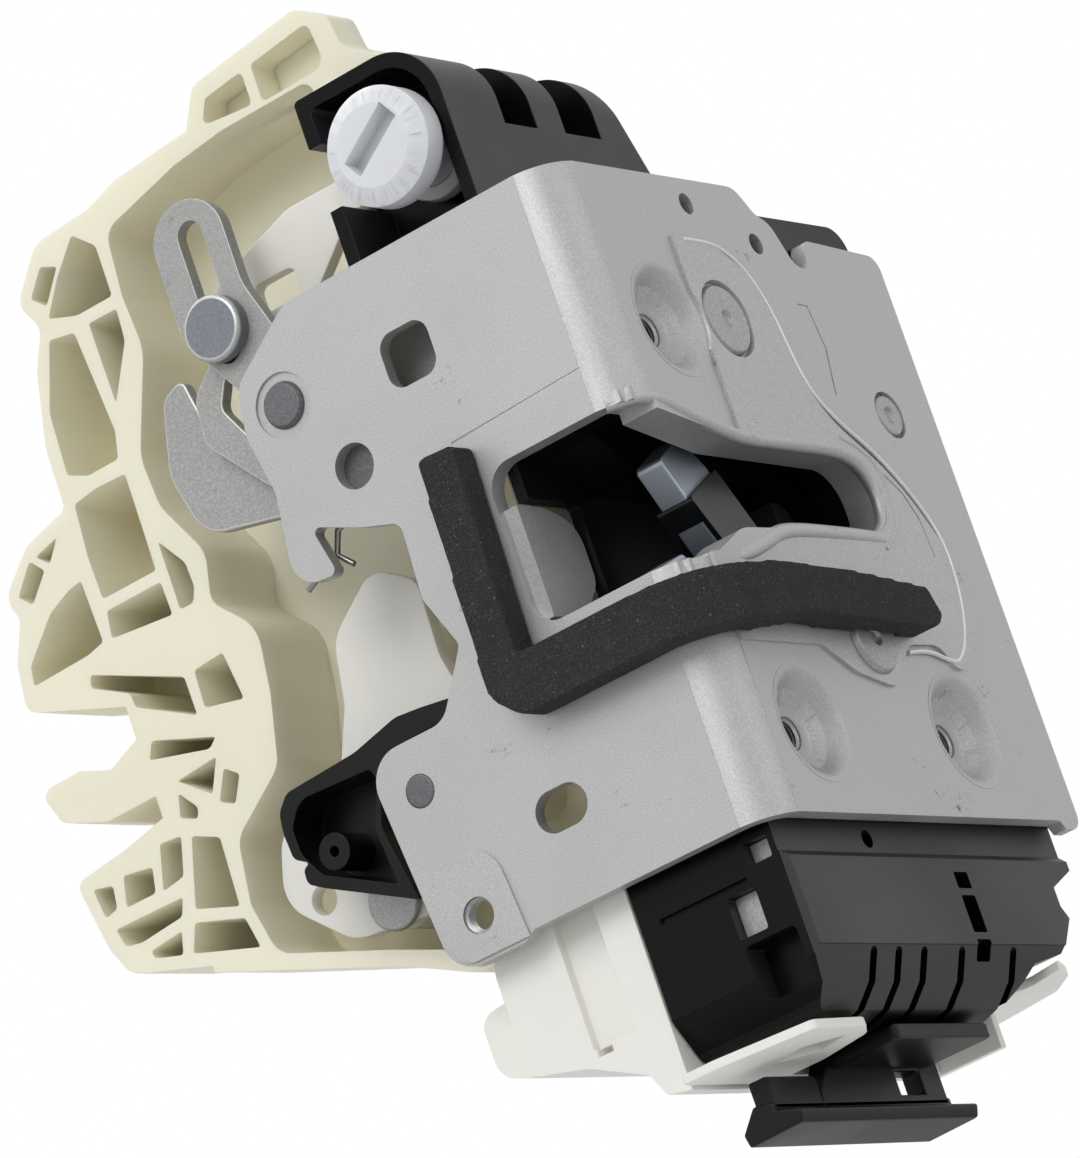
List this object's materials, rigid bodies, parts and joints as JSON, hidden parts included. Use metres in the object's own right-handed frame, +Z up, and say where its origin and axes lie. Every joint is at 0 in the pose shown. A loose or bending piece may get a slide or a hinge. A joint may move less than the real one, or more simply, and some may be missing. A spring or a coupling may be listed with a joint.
{
  "type": "door latch actuator",
  "caption": "Car door latch with power lock: steel face plate with striker mouth, claw and pawl, lock levers, key coupling, geared motor in an ivory case, foam seal.",
  "frame": {"origin": "on the shut face of the latch plate, half way between the two lower door screws", "axes": "+X out of the shut face towards the door's edge, +Z up, -Y out of the short leg of the plate, the inner face of the door"},
  "size_m": [0.124, 0.0856, 0.1764],
  "materials": {
    "zinc": "dull grey zinc plating with a fine speckle",
    "steel": "plain pressed steel, blasted",
    "pin_steel": "upset rivet steel",
    "claw_steel": "hardened steel, bluish",
    "spring_steel": "spring wire",
    "black": "black moulding, satin",
    "claw_black": "black moulded coat",
    "ivory": "natural ivory moulding",
    "white": "white moulding",
    "milky": "milky see-through moulding",
    "rubber": "rubber",
    "foam": "dark grey cell foam",
    "motor_can": "drawn can",
    "brass_pin": "tinned brass blades"
  },
  "bodies": {
    "frame": {"latch_plate": "zinc", "latch_housing": "black", "back_plate": "zinc", "claw_pivot": "pin_steel", "pawl_pivot": "pin_steel", "frame_rivet": "pin_steel", "striker_stop": "rubber", "coupling_hood": "black", "lever_pivot": "pin_steel", "frame_pin": "pin_steel", "swivel_pin": "pin_steel", "actuator_case": "ivory", "actuator_cover": "ivory", "cover_screws": "steel", "lock_motor": "motor_can", "wheel_pin": "pin_steel", "ajar_switch": "black", "terminals": "brass_pin", "cable_bracket": "black", "link_pin": "pin_steel", "switch_cover": "white", "base_flange": "ivory", "plug_bracket": "black", "foam_seal": "foam", "claw_spring": "spring_steel", "pawl_spring": "spring_steel", "lever_spring": "spring_steel"},
    "claw": {"claw": "claw_steel", "claw_cover": "claw_black"},
    "pawl": {"pawl": "claw_steel"},
    "key": {"key_coupling": "milky"},
    "lock_arm": {"lock_arm": "milky"},
    "slot_lever": {"slot_lever": "steel"},
    "stud_lever": {"stud_lever": "steel", "stud": "pin_steel"},
    "sector_lever": {"sector_lever": "steel"},
    "release_link": {"release_link": "milky"},
    "motor_worm": {"motor_worm": "brass_pin"},
    "worm_wheel": {"worm_wheel": "white"}
  },
  "joints": [
    {"name": "claw_turn", "type": "hinge", "parent": "frame", "child": "claw", "pos_m": [-0.0096, 0.0021, 0.0128], "axis": [-1, 0, 0], "range_deg": [0, 54], "stiffness_Nm_per_rad": 0.06, "springref_deg": -34.38, "deforming": ["claw_spring"]},
    {"name": "pawl_turn", "type": "hinge", "parent": "frame", "child": "pawl", "pos_m": [-0.0096, -0.0058, 0.0599], "axis": [-1, 0, 0], "range_deg": [0, 11], "deforming": ["pawl_spring"]},
    {"name": "key_turn", "type": "hinge", "parent": "frame", "child": "key", "pos_m": [-0.0236, -0.0325, 0.0942], "axis": [0, 1, 0], "range_deg": [-45, 45]},
    {"name": "lock_arm_turn", "type": "hinge", "parent": "frame", "child": "lock_arm", "pos_m": [-0.0236, -0.0251, 0.0942], "axis": [0, 1, 0], "range_deg": [-5, 5]},
    {"name": "stud_lever_turn", "type": "hinge", "parent": "frame", "child": "stud_lever", "pos_m": [-0.044, -0.0313, 0.056], "axis": [0, 1, 0], "range_deg": [-6, 6], "stiffness_Nm_per_rad": 0.02, "deforming": ["lever_spring"]},
    {"name": "slot_lever_turn", "type": "hinge", "parent": "frame", "child": "slot_lever", "pos_m": [-0.0517, -0.0338, 0.0686], "axis": [0, 1, 0], "range_deg": [-11.4, 11.4]},
    {"name": "sector_lever_turn", "type": "hinge", "parent": "frame", "child": "sector_lever", "pos_m": [-0.044, -0.0287, 0.056], "axis": [0, 1, 0], "range_deg": [-8, 8]},
    {"name": "release_link_turn", "type": "hinge", "parent": "frame", "child": "release_link", "pos_m": [-0.07, -0.0197, 0.0034], "axis": [0, 1, 0], "range_deg": [-6, 6]},
    {"name": "worm_spin", "type": "hinge", "parent": "frame", "child": "motor_worm", "pos_m": [-0.06, 0.0025, 0.091], "axis": [1, 0, 0], "continuous": true},
    {"name": "wheel_spin", "type": "hinge", "parent": "frame", "child": "worm_wheel", "pos_m": [-0.0825, 0.0025, 0.0753], "axis": [0, 1, 0], "continuous": true}
  ],
  "couplings": [
    {"joint": "slot_lever_turn", "follows": "stud_lever_turn", "ratio": 1.85},
    {"joint": "key_turn", "follows": "lock_arm_turn", "ratio": 8.99},
    {"joint": "worm_spin", "follows": "wheel_spin", "ratio": 24}
  ]
}
